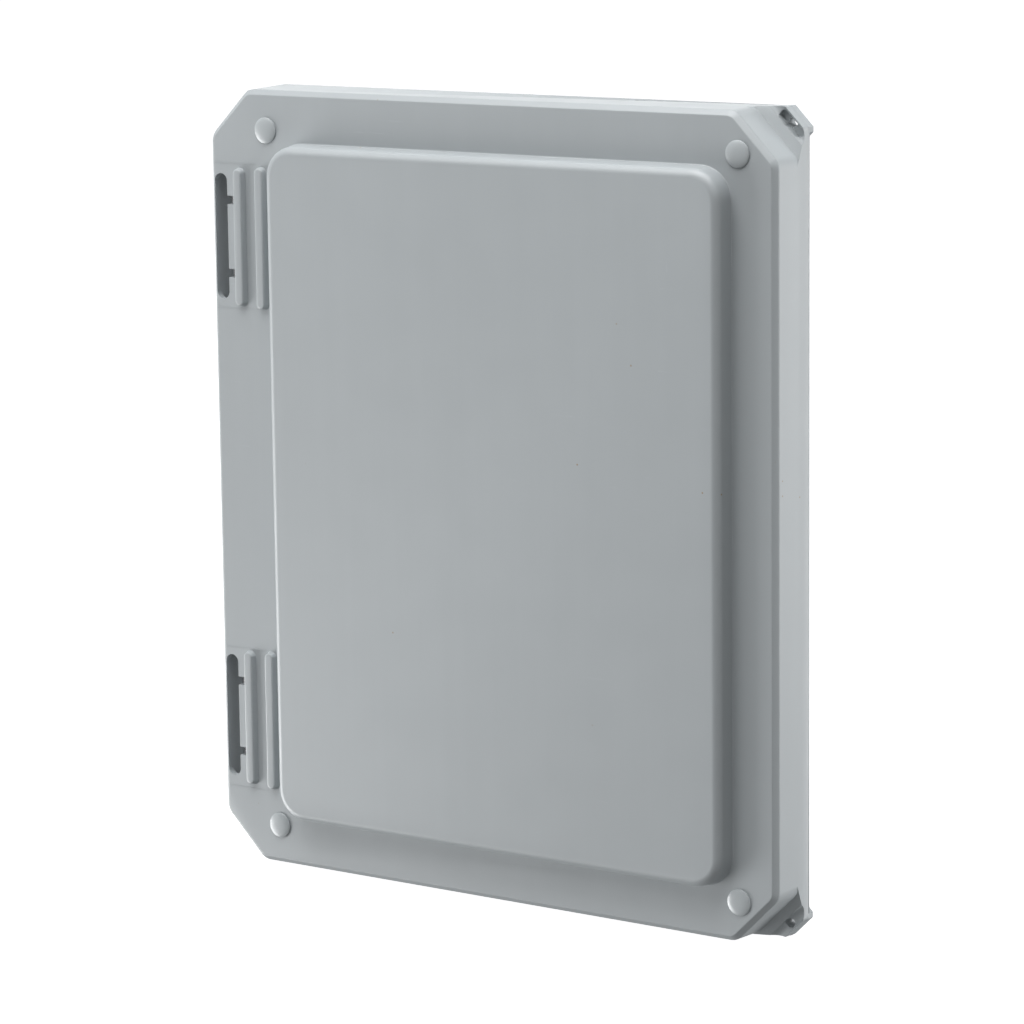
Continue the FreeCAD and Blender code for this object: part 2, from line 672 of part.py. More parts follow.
save("bonding_nut", tube(*bond, INSERT_BORE, 3.8, plate_back, plate_back + 2.4))

save("cover_screw_inserts", Part.makeCompound(
    [tube(x, z, INSERT_BORE, INSERT_R, POST_TOP, POST_TOP + INSERT_LENGTH) for _, x, z in SCREWS]))
save("screw_keeper_rings", Part.makeCompound([tube(x, z, *KEEPER_R, *KEEPER_DEPTH) for _, x, z in SCREWS]))
for where, x, z in SCREWS:
    save("cover_screw_" + where, pan_screw(x, z, HEAD_R, HEAD_TOP, HEAD_THICK, SCREW_R, SCREW_LENGTH, 1.0))
    save("screw_cap_" + where, make_cap(x, z))
for where, sign in (("upper", 1), ("lower", -1)):
    save("hinge_pin_" + where, make_pin(sign))
save("hinge_pin_clips", Part.makeCompound([make_clip(1), make_clip(-1)]))
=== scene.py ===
"""Looks of a shallow wall-mounted subpanel enclosure, built round its CAD frame.

The back box, the hinged cover and the flat subpanel keep the shapes of their CAD solids, with their
vertices merged and their curved faces smoothed; so do the hinge pins' clips.  Caps, screws, inserts,
washers, pins and the seal are new surfaces, each worked out as whole arrays.  Lengths are in metres,
+Z is up and the cover faces -Y.
"""
from __future__ import annotations

import logging
import math
from dataclasses import dataclass
from enum import Enum

import bmesh
import bpy
import numpy as np
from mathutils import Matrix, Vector
from numpy.typing import NDArray


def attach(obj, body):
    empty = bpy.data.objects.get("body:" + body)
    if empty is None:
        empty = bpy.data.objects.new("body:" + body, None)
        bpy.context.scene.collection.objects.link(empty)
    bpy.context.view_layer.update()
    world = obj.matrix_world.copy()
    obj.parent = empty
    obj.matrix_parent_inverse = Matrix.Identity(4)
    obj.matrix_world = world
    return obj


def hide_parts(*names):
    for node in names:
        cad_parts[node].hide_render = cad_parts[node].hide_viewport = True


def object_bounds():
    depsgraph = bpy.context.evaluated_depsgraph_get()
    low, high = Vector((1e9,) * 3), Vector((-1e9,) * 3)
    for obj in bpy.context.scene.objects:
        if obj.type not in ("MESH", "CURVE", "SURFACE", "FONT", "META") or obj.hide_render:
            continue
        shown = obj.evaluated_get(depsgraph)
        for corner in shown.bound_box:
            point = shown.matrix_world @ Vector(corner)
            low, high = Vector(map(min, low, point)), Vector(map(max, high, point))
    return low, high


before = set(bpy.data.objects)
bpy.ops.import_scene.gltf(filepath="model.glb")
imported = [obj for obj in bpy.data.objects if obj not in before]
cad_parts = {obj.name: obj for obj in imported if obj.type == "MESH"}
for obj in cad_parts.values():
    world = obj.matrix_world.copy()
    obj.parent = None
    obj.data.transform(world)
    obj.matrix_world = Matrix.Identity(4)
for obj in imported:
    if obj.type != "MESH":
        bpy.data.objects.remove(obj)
CAD_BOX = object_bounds()

LOG = logging.getLogger("subpanel_enclosure")
MM = 0.001
TURN = 2.0 * math.pi
TINY = 0.02 * MM         # radius at which a turned part's outline meets the fan on its axis
MERGE_GAP = 0.002 * MM   # vertices of a CAD mesh that are nearer than this are one
FLAT_ANGLE = 0.2         # degrees: faces that turn less than this are one flat face
FLANGE_TO_WALL = 26.4 * MM
SPECK = (0.30, 0.24, 0.17, 1.0)

Array = NDArray[np.float64]
Socket = bpy.types.NodeSocket
Pair = tuple[float, float]
Triple = tuple[float, float, float]


# ------------------------------------------------------------------ surfaces
class Axis(Enum):
    """Direction in which a turned part's own height runs: rows of the rotation onto the frame."""

    OUT = ((1.0, 0.0, 0.0), (0.0, 0.0, -1.0), (0.0, 1.0, 0.0))
    UP = ((1.0, 0.0, 0.0), (0.0, 1.0, 0.0), (0.0, 0.0, 1.0))


@dataclass
class Skin:
    """One closed surface: its points and its faces, as index arrays of three or four columns.

    Args:
        points: n x 3 positions in metres.
        faces: index arrays, one array per face size.
    """

    points: Array
    faces: list[Array]

    def placed(self, spot: Triple, axis: Axis) -> "Skin":
        """A copy carried to its place.

        Args:
            spot: where the part's own origin goes, in the frame.
            axis: which way its height runs.

        Returns:
            The moved skin.
        """
        return Skin(self.points @ np.array(axis.value).T + np.array(spot), self.faces)

    def outward(self) -> "Skin":
        """The same skin with its faces turned outwards.

        The signed volume is a sixth of the sum of a . (b x c) over triangles; a negative one means
        that the faces look inwards.
        """
        fans = [f[:, [0, k, k + 1]] for f in self.faces for k in range(1, f.shape[1] - 1)]
        a, b, c = (self.points[np.concatenate(fans)[:, k]] for k in range(3))
        if np.einsum("ij,ij->", a, np.cross(b, c)) >= 0.0:
            return self
        return Skin(self.points, [f[:, ::-1] for f in self.faces])


def joined(skins: list[Skin]) -> Skin:
    """Several skins as one, kept apart.

    Args:
        skins: the skins to put in one mesh.

    Returns:
        One skin that holds them all.
    """
    starts = np.cumsum([0] + [len(s.points) for s in skins[:-1]])
    faces = [f + start for s, start in zip(skins, starts) for f in s.faces]
    return Skin(np.concatenate([s.points for s in skins]), faces)


def grid_faces(rows: int, columns: int, wrap_rows: bool) -> NDArray[np.int64]:
    """Quads of a grid whose columns close on themselves.

    Face (i, j) joins points (i, j), (i, j+1), (i+1, j+1) and (i+1, j), columns counted round.

    Args:
        rows: number of point rows.
        columns: number of points in each row.
        wrap_rows: whether the last row joins the first.

    Returns:
        Index array with four columns.
    """
    i = np.arange(rows if wrap_rows else rows - 1)[:, None]
    j = np.arange(columns)[None, :]
    right = (j + 1) % columns
    below = (i + 1) % rows
    here, under = i * columns, below * columns
    return np.stack([here + j, here + right, under + right, under + j], -1).reshape(-1, 4)


def turned(radius: Array, height: Array) -> Skin:
    """Closed skin of a turned part whose radius and height may vary with the angle.

    Point (i, j) lies at angle 2 pi j / m, at radius[i, j] and height[i, j].  Both ends are closed with
    a fan to a point on the axis.

    Args:
        radius: rows x m radii, in metres.
        height: rows x m heights, in metres.

    Returns:
        The skin about the Z axis.
    """
    rows, m = radius.shape
    angle = TURN * np.arange(m) / m
    ring = np.stack([radius * np.cos(angle), radius * np.sin(angle), height], -1).reshape(-1, 3)
    poles = np.array([[0.0, 0.0, height[0].mean()], [0.0, 0.0, height[-1].mean()]])
    j = np.arange(m)
    ahead = (j + 1) % m
    low = np.stack([np.full(m, rows * m), ahead, j], -1)
    top = (rows - 1) * m
    high = np.stack([np.full(m, rows * m + 1), top + j, top + ahead], -1)
    return Skin(np.concatenate([ring, poles]), [grid_faces(rows, m, False), low, high]).outward()


def turned_ring(profile: Array, m: int, teeth: int = 0, tooth: float = 0.0) -> Skin:
    """Closed skin of a ring: a closed profile carried round the Z axis.

    With teeth, every radius beyond the profile's middle is cut by tooth * (1 - cos(teeth * angle)) / 2.

    Args:
        profile: k x 2 closed outline of (radius, height).
        m: number of steps round.
        teeth: number of knurls round the outside.
        tooth: their depth.

    Returns:
        The skin about the Z axis.
    """
    angle = TURN * np.arange(m) / m
    outside = (profile[:, :1] > profile[:, 0].mean()).astype(float)
    r = profile[:, :1] - outside * tooth * (1.0 - np.cos(teeth * angle)) / 2.0
    z = np.repeat(profile[:, 1:], m, axis=1)
    points = np.stack([r * np.cos(angle), r * np.sin(angle), z], -1).reshape(-1, 3)
    return Skin(points, [grid_faces(len(profile), m, True)]).outward()


def softened(corners: list[Pair], soft: float, steps: int, closed: bool) -> Array:
    """Outline whose corners are rounded off.

    Each corner becomes a quadratic curve from soft before it to soft past it: the point at t is
    (1-t)^2 A + 2 t (1-t) C + t^2 B.

    Args:
        corners: the sharp outline.
        soft: length taken from each side of a corner.
        steps: points along each curve.
        closed: whether the last corner joins the first.

    Returns:
        k x 2 points.
    """
    c = np.array(corners, float)
    before, after = np.roll(c, 1, 0) - c, np.roll(c, -1, 0) - c
    length_before, length_after = (np.linalg.norm(v, axis=1, keepdims=True) for v in (before, after))
    a = c + before / length_before * np.minimum(soft, 0.45 * length_before)
    b = c + after / length_after * np.minimum(soft, 0.45 * length_after)
    t = np.linspace(0.0, 1.0, steps)[None, :, None]
    curve = (1 - t) ** 2 * a[:, None] + 2 * t * (1 - t) * c[:, None] + t ** 2 * b[:, None]
    if closed:
        return curve.reshape(-1, 2)
    return np.concatenate([c[:1], curve[1:-1].reshape(-1, 2), c[-1:]])


def spun(corners: list[Pair], soft: float, m: int = 48) -> Skin:
    """Solid of revolution from an open outline that starts and ends near the axis.

    Args:
        corners: (radius, height) points from one end's middle to the other's, in metres.
        soft: rounding of each corner.
        m: number of steps round.

    Returns:
        The closed skin about the Z axis.
    """
    outline = softened(corners, soft, 5, False)
    return turned(np.repeat(outline[:, :1], m, 1), np.repeat(outline[:, 1:], m, 1))


def ring_profile(inner: float, outer: float, low: float, high: float, soft: float) -> Array:
    """Rounded rectangular section of a ring, as (radius, height) points."""
    return softened([(inner, low), (outer, low), (outer, high), (inner, high)], soft, 4, True)


def strip_along(path: Array, profile: Array) -> Skin:
    """Closed strip: a section carried along a closed path in an XZ plane.

    Each path point's sideways direction is its tangent, taken between its neighbours, turned by 90
    degrees; section point (s, y) lies s along it at depth y.

    Args:
        path: n x 2 points (x, z).
        profile: k x 2 closed section of (sideways, y).

    Returns:
        The strip's skin in the frame.
    """
    tangent = np.roll(path, -1, 0) - np.roll(path, 1, 0)
    tangent /= np.linalg.norm(tangent, axis=1, keepdims=True)
    side = np.stack([tangent[:, 1], -tangent[:, 0]], -1)
    spots = path[None] + profile[:, None, :1] * side[None]
    y = np.repeat(profile[:, 1:], len(path), axis=1)
    points = np.stack([spots[..., 0], y, spots[..., 1]], -1).reshape(-1, 3)
    return Skin(points, [grid_faces(len(profile), len(path), True)]).outward()


@dataclass(frozen=True)
class PanScrew:
    """Pan-head machine screw with a rolled thread and a cross recess; its head seat is at height 0.

    Args:
        head_r: head radius.
        head_h: head height.
        shank_r: thread's outer radius.
        length: length below the head.
        pitch: thread pitch.
        thread: depth of the thread.
        recess: half length and half width of the cross's arms, and its depth.
    """

    head_r: float
    head_h: float
    shank_r: float
    length: float
    pitch: float = 0.7 * MM
    thread: float = 0.3 * MM
    recess: Triple = (1.9 * MM, 0.42 * MM, 1.1 * MM)

    def skin(self, m: int = 64) -> Skin:
        """The screw's closed skin about the Z axis.

        The thread's radius falls from the crest by thread * |1 - 2 frac(z / pitch - angle / 2 pi)|,
        faded out at both ends.  The head's top sinks by the recess's depth wherever the nearer of
        |x| and |y| is within an arm's half width.

        Args:
            m: number of steps round.

        Returns:
            The skin.
        """
        turn = np.arange(m)[None, :] / m
        z = np.linspace(-self.length, -0.2 * MM, int(self.length / self.pitch * 8))[:, None]
        wave = np.abs(1.0 - 2.0 * np.mod(z / self.pitch - turn, 1.0))
        fade = np.clip((z + self.length) / (1.2 * self.pitch), 0.0, 1.0) ** 0.5
        shank_r = self.shank_r * (0.72 + 0.28 * fade) - self.thread * wave * fade
        tip = np.full((1, m), 0.55 * self.shank_r)
        under = np.array([[self.shank_r], [self.shank_r]]) * np.ones((1, m))
        side = softened([(self.shank_r, 0.0), (self.head_r, 0.0), (self.head_r, self.head_h * 0.45),
                         (self.head_r * 0.62, self.head_h), (self.head_r * 0.55, self.head_h)],
                        0.5 * MM, 7, False)[1:]
        top_r = np.linspace(0.55 * self.head_r, TINY, 26)[:, None] * np.ones((1, m))
        x, y = np.abs(top_r * np.cos(TURN * turn)), np.abs(top_r * np.sin(TURN * turn))
        arm_length, arm, deep = self.recess
        inside = np.clip((arm - np.minimum(x, y)) / (0.12 * MM) + 0.5, 0.0, 1.0)
        inside *= np.clip((arm_length - np.maximum(x, y)) / (0.2 * MM), 0.0, 1.0)
        top_z = self.head_h - deep * inside
        radius = np.concatenate([tip, shank_r, under, np.repeat(side[:, :1], m, 1), top_r])
        tip_z = np.full((1, m), -self.length - 0.001 * MM)
        under_z = np.array([[-0.1 * MM], [0.0]]) * np.ones((1, m))
        height = np.concatenate([tip_z, np.repeat(z, m, 1), under_z, np.repeat(side[:, 1:], m, 1), top_z])
        return turned(radius, height)


def mesh_piece(name: str, skin: Skin, smooth_angle: float = 40.0) -> bpy.types.Object:
    """Puts a skin into a mesh object at the origin.

    Args:
        name: the piece's name.
        skin: its surface.
        smooth_angle: edges sharper than this many degrees stay crisp.

    Returns:
        The new object.
    """
    mesh = bpy.data.meshes.new(name)
    corners = np.concatenate([f.reshape(-1) for f in skin.faces])
    sizes = np.concatenate([np.full(len(f), f.shape[1]) for f in skin.faces])
    mesh.vertices.add(len(skin.points))
    mesh.vertices.foreach_set("co", skin.points.astype(np.float32).reshape(-1))
    mesh.loops.add(len(corners))
    mesh.loops.foreach_set("vertex_index", corners.astype(np.int32))
    mesh.polygons.add(len(sizes))
    mesh.polygons.foreach_set("loop_start", (np.cumsum(sizes) - sizes).astype(np.int32))
    mesh.update(calc_edges=True)
    mesh.validate()
    return shown(name, mesh, smooth_angle)


def shown(name: str, mesh: bpy.types.Mesh, smooth_angle: float) -> bpy.types.Object:
    """Object for a mesh, shaded smooth except at its sharp edges.

    Args:
        name: the piece's name.
        mesh: its mesh.
        smooth_angle: edges sharper than this many degrees stay crisp.

    Returns:
        The new object.
    """
    mesh.polygons.foreach_set("use_smooth", np.ones(len(mesh.polygons), dtype=bool))
    mesh.set_sharp_from_angle(angle=math.radians(smooth_angle))
    piece = bpy.data.objects.new(name, mesh)
    bpy.context.scene.collection.objects.link(piece)
    return piece


def merged_copy(node: str, name: str, smooth_angle: float) -> bpy.types.Object:
    """A CAD solid's own shape with its loose triangles merged and its flat areas joined.

    Args:
        node: the CAD node.
        name: name of the new piece.
        smooth_angle: edges sharper than this many degrees stay crisp.

    Returns:
        The new object, riding on nothing yet.
    """
    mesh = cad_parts[node].data.copy()
    mesh.name = name
    work = bmesh.new()
    work.from_mesh(mesh)
    bmesh.ops.remove_doubles(work, verts=work.verts, dist=MERGE_GAP)
    bmesh.ops.dissolve_limit(work, angle_limit=math.radians(FLAT_ANGLE), verts=work.verts,
                              edges=work.edges)
    work.to_mesh(mesh)
    work.free()
    mesh.materials.clear()
    return shown(name, mesh, smooth_angle)


def soft_edges(piece: bpy.types.Object, width: float, limit: float) -> None:
    """Rounds a piece's sharp edges with a bevel modifier.

    Args:
        piece: the piece.
        width: width of the rounding, in metres.
        limit: only edges sharper than this many degrees are rounded.
    """
    bevel = piece.modifiers.new("soft_edges", "BEVEL")
    bevel.width = width
    bevel.segments = 3
    bevel.limit_method = "ANGLE"
    bevel.angle_limit = math.radians(limit)
    bevel.use_clamp_overlap = True
    bevel.harden_normals = False


# ------------------------------------------------------------------ finishes
class Graph:
    """Short-hand for one material's node tree.

    Args:
        name: the material's name.
    """

    def __init__(self, name: str) -> None:
        self.material = bpy.data.materials.new(name)
        self.material.use_nodes = True
        self.nodes = self.material.node_tree.nodes
        self.links = self.material.node_tree.links
        self.shader = self.nodes["Principled BSDF"]
        self.place = self.nodes.new("ShaderNodeTexCoord").outputs["Object"]

    def node(self, kind: str, **settings: object) -> bpy.types.Node:
        """A new node with its properties set."""
        made = self.nodes.new(kind)
        for key, value in settings.items():
            setattr(made, key, value)
        return made

    def mapped(self, scale: Triple) -> Socket:
        """Object coordinates stretched along each axis."""
        mapping = self.node("ShaderNodeMapping")
        mapping.inputs["Scale"].default_value = scale
        self.links.new(self.place, mapping.inputs["Vector"])
        return mapping.outputs["Vector"]

    def noise(self, scale: Triple, detail: float, rough: float = 0.5) -> Socket:
        """Noise over object coordinates; scale is in cycles per metre along each axis."""
        made = self.node("ShaderNodeTexNoise")
        made.inputs["Scale"].default_value = 1.0
        made.inputs["Detail"].default_value = detail
        made.inputs["Roughness"].default_value = rough
        self.links.new(self.mapped(scale), made.inputs["Vector"])
        return made.outputs["Fac"]

    def specks(self, per_metre: float, size: float) -> Socket:
        """Sparse dots: 1 inside a cell's middle, 0 elsewhere; size is a share of the cell."""
        cells = self.node("ShaderNodeTexVoronoi")
        cells.inputs["Scale"].default_value = 1.0
        self.links.new(self.mapped((per_metre, per_metre, per_metre)), cells.inputs["Vector"])
        return self.ramp(cells.outputs["Distance"], (size, 1.0), (size * 1.6, 0.0))

    def ramp(self, source: Socket, low: Pair, high: Pair) -> Socket:
        """Maps a value linearly, clamped: low and high are (input, output) pairs."""
        made = self.node("ShaderNodeMapRange")
        made.inputs["From Min"].default_value, made.inputs["To Min"].default_value = low
        made.inputs["From Max"].default_value, made.inputs["To Max"].default_value = high
        self.links.new(source, made.inputs["Value"])
        return made.outputs["Result"]

    def maths(self, how: str, a: Socket | float, b: Socket | float) -> Socket:
        """Two values combined."""
        made = self.node("ShaderNodeMath", operation=how)
        for socket, value in zip(made.inputs, (a, b)):
            if isinstance(value, (int, float)):
                socket.default_value = value
            else:
                self.links.new(value, socket)
        return made.outputs["Value"]

    def blend(self, share: Socket, a: object, b: object) -> Socket:
        """Mix of two colours, each a tuple or a socket."""
        made = self.node("ShaderNodeMix", data_type="RGBA")
        self.links.new(share, made.inputs["Factor"])
        for index, value in ((6, a), (7, b)):
            if isinstance(value, tuple):
                made.inputs[index].default_value = value
            else:
                self.links.new(value, made.inputs[index])
        return made.outputs[2]

    def bump(self, height: Socket, depth: float, strength: float = 1.0) -> None:
        """Bump from a height map; depth is in metres."""
        made = self.node("ShaderNodeBump")
        made.inputs["Distance"].default_value = depth
        made.inputs["Strength"].default_value = strength
        self.links.new(height, made.inputs["Height"])
        self.links.new(made.outputs["Normal"], self.shader.inputs["Normal"])

    def colour(self, source: Socket) -> None:
        """Sends a colour to the shader."""
        self.links.new(source, self.shader.inputs["Base Color"])

    def roughness(self, source: Socket) -> None:
        """Sends a roughness to the shader."""
        self.links.new(source, self.shader.inputs["Roughness"])

    def steady(self, **values: float) -> None:
        """Sets the shader's own sockets to values that hold all over the surface."""
        for key, value in values.items():
            self.shader.inputs[key.replace("_", " ")].default_value = value


def tint(colour: Triple, times: float) -> tuple[float, float, float, float]:
    """A linear colour made lighter or darker, with full alpha."""
    return (*(min(1.0, c * times) for c in colour), 1.0)


@dataclass(frozen=True)
class MouldedPlastic:
    """Satin injection-moulded plastic with a fine eroded grain, faint flow marks, scuffs and specks.

    Args:
        name: the material's name.
        colour: linear base colour.
        roughness: middle roughness.
        grain: height of the mould's grain, in metres.
        wear: how strongly scuffs show, 0 to 1.
    """

    name: str
    colour: Triple
    roughness: float
    grain: float
    wear: float

    def material(self) -> bpy.types.Material:
        """The finish as a node material."""
        g = Graph(self.name)
        cloud = g.noise((7.0, 7.0, 7.0), 3.0)
        flow = g.noise((150.0, 60.0, 5.0), 2.0)
        broad = g.ramp(cloud, (0.3, 0.0), (0.7, 0.75))
        tone = g.maths("ADD", broad, g.ramp(flow, (0.35, 0.0), (0.75, 0.25)))
        base = g.blend(tone, tint(self.colour, 0.972), tint(self.colour, 1.028))
        scratch_a = g.ramp(g.noise((42.0, 42.0, 520.0), 4.0, 0.62), (0.66, 0.0), (0.76, 1.0))
        scratch_b = g.ramp(g.noise((330.0, 330.0, 34.0), 4.0, 0.6), (0.72, 0.0), (0.80, 1.0))
        patch = g.ramp(g.noise((18.0, 18.0, 18.0), 2.0), (0.52, 0.0), (0.66, 1.0))
        scuff = g.maths("MULTIPLY", g.maths("MAXIMUM", scratch_a, scratch_b), patch)
        scuff = g.maths("MULTIPLY", scuff, self.wear)
        base = g.blend(scuff, base, tint(self.colour, 1.22))
        rare = g.ramp(g.noise((23.0, 23.0, 23.0), 1.0), (0.60, 0.0), (0.66, 1.0))
        dots = g.maths("MULTIPLY", g.specks(110.0, 0.035), rare)
        g.colour(g.blend(dots, base, SPECK))
        patchy = g.noise((60.0, 60.0, 60.0), 4.0)
        rough = g.ramp(patchy, (0.25, self.roughness - 0.04), (0.75, self.roughness + 0.05))
        g.roughness(g.maths("ADD", rough, g.maths("MULTIPLY", scuff, 0.08)))
        fine = g.noise((2600.0, 2600.0, 2600.0), 3.0, 0.6)
        soft = g.noise((95.0, 95.0, 95.0), 2.0)
        g.bump(g.maths("ADD", fine, g.maths("MULTIPLY", soft, 0.9)), self.grain)
        g.steady(IOR=1.585)
        return g.material


@dataclass(frozen=True)
class Metal:
    """Machined or plated metal with drawn marks along its length and tarnish in patches.

    Args:
        name: the material's name.
        colour: linear base colour.
        roughness: middle roughness.
        stretch: cycles per metre of the machining marks along X, Y and Z.
        depth: height of the marks, in metres.
        tarnish: how far patches darken, 0 to 1.
    """

    name: str
    colour: Triple
    roughness: float
    stretch: Triple
    depth: float
    tarnish: float

    def material(self) -> bpy.types.Material:
        """The finish as a node material."""
        g = Graph(self.name)
        marks = g.noise(self.stretch, 3.0)
        patch = g.noise((220.0, 220.0, 220.0), 4.0)
        dull = g.ramp(patch, (0.45, 0.0), (0.75, self.tarnish))
        g.colour(g.blend(dull, tint(self.colour, 1.0), tint(self.colour, 0.55)))
        rough = g.ramp(marks, (0.3, self.roughness - 0.06), (0.7, self.roughness + 0.08))
        g.roughness(g.maths("ADD", rough, g.maths("MULTIPLY", dull, 0.15)))
        g.bump(marks, self.depth)
        g.steady(Metallic=1.0)
        return g.material


@dataclass(frozen=True)
class PowderCoat:
    """Stoved powder coat with fine orange peel.

    Args:
        name: the material's name.
        colour: linear base colour.
        roughness: middle roughness.
    """

    name: str
    colour: Triple
    roughness: float

    def material(self) -> bpy.types.Material:
        """The finish as a node material."""
        g = Graph(self.name)
        cloud = g.noise((14.0, 14.0, 14.0), 3.0)
        g.colour(g.blend(cloud, tint(self.colour, 0.96), tint(self.colour, 1.03)))
        peel = g.noise((900.0, 900.0, 900.0), 2.0)
        g.roughness(g.ramp(peel, (0.3, self.roughness - 0.04), (0.7, self.roughness + 0.05)))
        g.bump(peel, 0.03 * MM)
        return g.material


@dataclass(frozen=True)
class FoamRubber:
    """Closed-cell foam rubber: dark, matt and pitted.

    Args:
        name: the material's name.
        colour: linear base colour.
    """

    name: str
    colour: Triple

    def material(self) -> bpy.types.Material:
        """The finish as a node material."""
        g = Graph(self.name)
        cells = g.node("ShaderNodeTexVoronoi")
        cells.inputs["Scale"].default_value = 1.0
        g.links.new(g.mapped((2200.0, 2200.0, 2200.0)), cells.inputs["Vector"])
        pits_and_pit_shade = g.ramp(cells.outputs["Distance"], (0.05, 0.0), (0.45, 1.0))
        # painted shade: the colour is darker inside each pit, where the bump sinks, and lighter on the
        # cell walls between them
        g.colour(g.blend(pits_and_pit_shade, tint(self.colour, 0.6), tint(self.colour, 1.3)))
        g.roughness(g.ramp(pits_and_pit_shade, (0.0, 0.95), (1.0, 0.82)))
        g.bump(pits_and_pit_shade, 0.08 * MM)
        return g.material


class Finish(Enum):
    """The finishes in use, each with the record's material slot that it stands for."""

    CASE = ("case_grey", MouldedPlastic("case_plastic", (0.375, 0.402, 0.416), 0.42, 0.012 * MM, 0.5))
    CAP = ("cap_grey", MouldedPlastic("cap_plastic", (0.415, 0.445, 0.458), 0.34, 0.006 * MM, 0.15))
    SEAL = ("gasket_rubber", FoamRubber("seal_foam", (0.05, 0.05, 0.055)))
    PLATE = ("zinc_steel", PowderCoat("white_coat", (0.80, 0.80, 0.77), 0.45))
    BRASS = ("brass",
             Metal("turned_brass", (0.78, 0.58, 0.27), 0.26, (60.0, 2600.0, 60.0), 0.006 * MM, 0.4))
    STEEL = ("stainless",
             Metal("bright_steel", (0.66, 0.66, 0.67), 0.28, (1800.0, 90.0, 1800.0), 0.004 * MM, 0.2))
    SPRING = ("spring_steel",
              Metal("spring_steel", (0.40, 0.40, 0.42), 0.34, (900.0, 900.0, 900.0), 0.004 * MM, 0.3))
    GREEN = ("bonding_green",
             Metal("green_steel", (0.06, 0.34, 0.14), 0.32, (900.0, 900.0, 900.0), 0.004 * MM, 0.3))
    NYLON = ("keeper_nylon", MouldedPlastic("keeper_nylon", (0.72, 0.72, 0.68), 0.4, 0.004 * MM, 0.0))

    @property
    def slot(self) -> str:
        """The record's slot name."""
        return self.value[0]


class Wardrobe:
    """Makes each finish once and dresses pieces in it."""

    def __init__(self) -> None:
        self.made: dict[Finish, bpy.types.Material] = {}

    def dress(self, piece: bpy.types.Object, finish: Finish) -> None:
        """Gives a piece its only material.

        Args:
            piece: a mesh object.
            finish: what it is made of.
        """
        if finish not in self.made:
            self.made[finish] = finish.value[1].material()
        piece.data.materials.clear()
        piece.data.materials.append(self.made[finish])


def fit(piece: bpy.types.Object, body: str, nodes: list[str]) -> None:
    """Lets a piece stand for CAD nodes and ride on their body.

    Args:
        piece: the finished piece.
        body: the CAD body it moves with.
        nodes: the CAD nodes that it replaces.
    """
    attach(piece, body)
    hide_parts(*nodes)
    LOG.info("%s: %d faces on %s", piece.name, len(piece.data.polygons), body)


# ------------------------------------------------------------------ sub-assemblies
def at(depth: float) -> float:
    """Y of a depth measured back from the cover's flange, both in metres."""
    return depth - FLANGE_TO_WALL


def corner_spots(right: float, left: float, height: float) -> list[Pair]:
    """Four places, as (x, z): top left, top right, bottom left, bottom right."""
    return [(left, height), (right, height), (left, -height), (right, -height)]


@dataclass
class Shells:
    """The two mouldings: back box and hinged cover.

    Args:
        smooth_angle: edges sharper than this many degrees stay crisp.
        edge: rounding of the moulded edges.
        edge_angle: only edges sharper than this many degrees are rounded.
    """

    smooth_angle: float = 26.0
    edge: float = 0.3 * MM
    edge_angle: float = 32.0

    def build(self, wardrobe: Wardrobe) -> None:
        """Makes both shells."""
        for node in ("back_box", "cover"):
            shell = merged_copy(node, node + "_shell", self.smooth_angle)
            soft_edges(shell, self.edge, self.edge_angle)
            wardrobe.dress(shell, Finish.CASE)
            fit(shell, node, [node])


